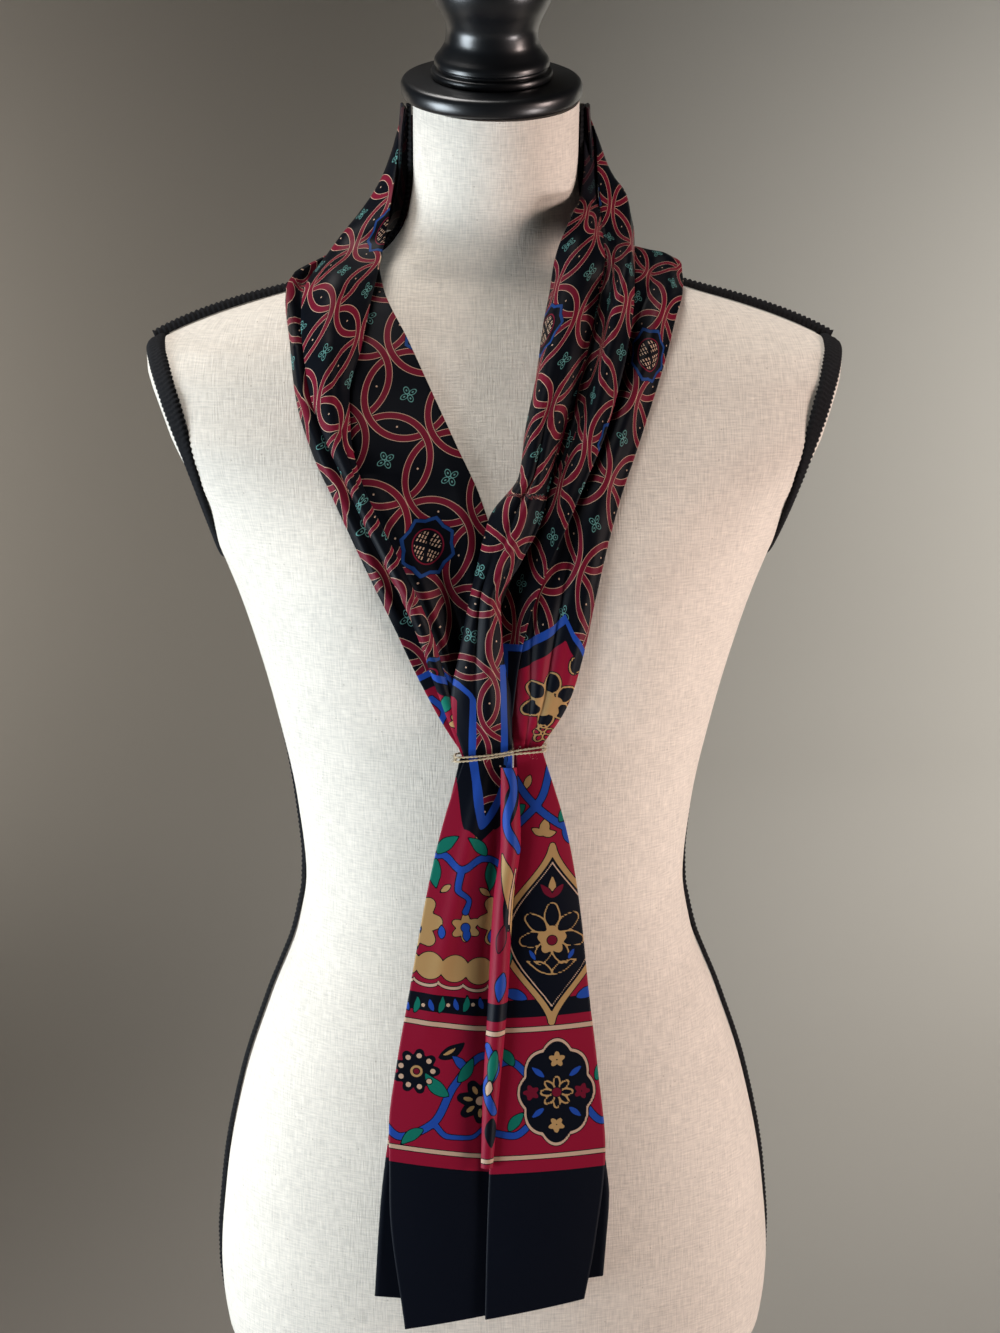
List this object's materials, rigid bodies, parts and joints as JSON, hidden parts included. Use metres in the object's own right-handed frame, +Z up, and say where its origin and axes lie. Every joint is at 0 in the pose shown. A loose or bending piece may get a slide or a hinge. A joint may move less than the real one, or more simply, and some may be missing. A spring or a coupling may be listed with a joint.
{
  "type": "cravat on a dress form",
  "caption": "Long printed silk cravat worn round the neck of a linen-covered limbless dress form, crossed at the chest and gathered with twine into hanging tails, on a round-based stand.",
  "frame": {"origin": "middle of the stand's underside on the floor", "axes": "+Z up, the front of the form faces -Y, +X is the wearer's left"},
  "size_m": [0.394, 0.36, 1.4957],
  "materials": {
    "linen_cover": "plain woven, matt",
    "knitted_braid": "ribbed, matt",
    "black_painted_wood": "turned, satin black paint",
    "satin_black_paint": "satin",
    "printed_silk_field": "printed silk twill, soft sheen",
    "printed_silk_border": "printed silk twill, soft sheen",
    "cream_twine": "twisted, matt"
  },
  "bodies": {
    "root": {"form_torso": "linen_cover", "braid_shoulder_right": "knitted_braid", "braid_shoulder_left": "knitted_braid", "braid_armhole_right": "knitted_braid", "braid_armhole_left": "knitted_braid", "braid_side_right": "knitted_braid", "braid_side_left": "knitted_braid", "neck_cap": "black_painted_wood", "finial": "black_painted_wood", "pole_socket": "satin_black_paint", "pole": "satin_black_paint", "stand_base": "satin_black_paint", "neck_band": "printed_silk_field", "nape_fall": "printed_silk_field", "right_panel": "printed_silk_field", "right_lapel": "printed_silk_field", "left_band": "printed_silk_field", "left_collar": "printed_silk_field", "left_panel": "printed_silk_field", "right_tail_front": "printed_silk_border", "right_tail_back": "printed_silk_border", "left_tail_front": "printed_silk_border", "left_tail_back": "printed_silk_border", "left_tail_roll": "printed_silk_border", "twine_turn_1": "cream_twine", "twine_turn_2": "cream_twine"}
  },
  "joints": []
}
